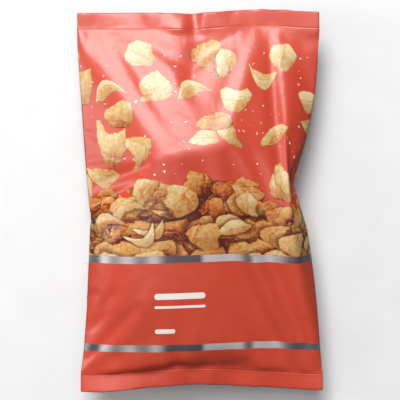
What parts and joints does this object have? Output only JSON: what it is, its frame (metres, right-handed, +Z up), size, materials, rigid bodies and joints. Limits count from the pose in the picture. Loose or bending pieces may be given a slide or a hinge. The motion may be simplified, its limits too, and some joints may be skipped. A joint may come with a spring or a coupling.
{
  "type": "bag of crisps",
  "caption": "Shut pillow bag of potato crisps in coral film, filled with air and crisps, with a flat welded seal at each end, lying on its back.",
  "frame": {"origin": "middle of the bag's own box, on the surface that it lies on", "axes": "+Z up out of the printed front, +Y from the bottom seal to the top seal, +X to the right of the printed front seen from above"},
  "size_m": [0.197, 0.3056, 0.0596],
  "materials": {
    "printed_film": "satin-gloss printed film"
  },
  "bodies": {
    "root": {"crisp_bag": "printed_film"}
  },
  "joints": []
}
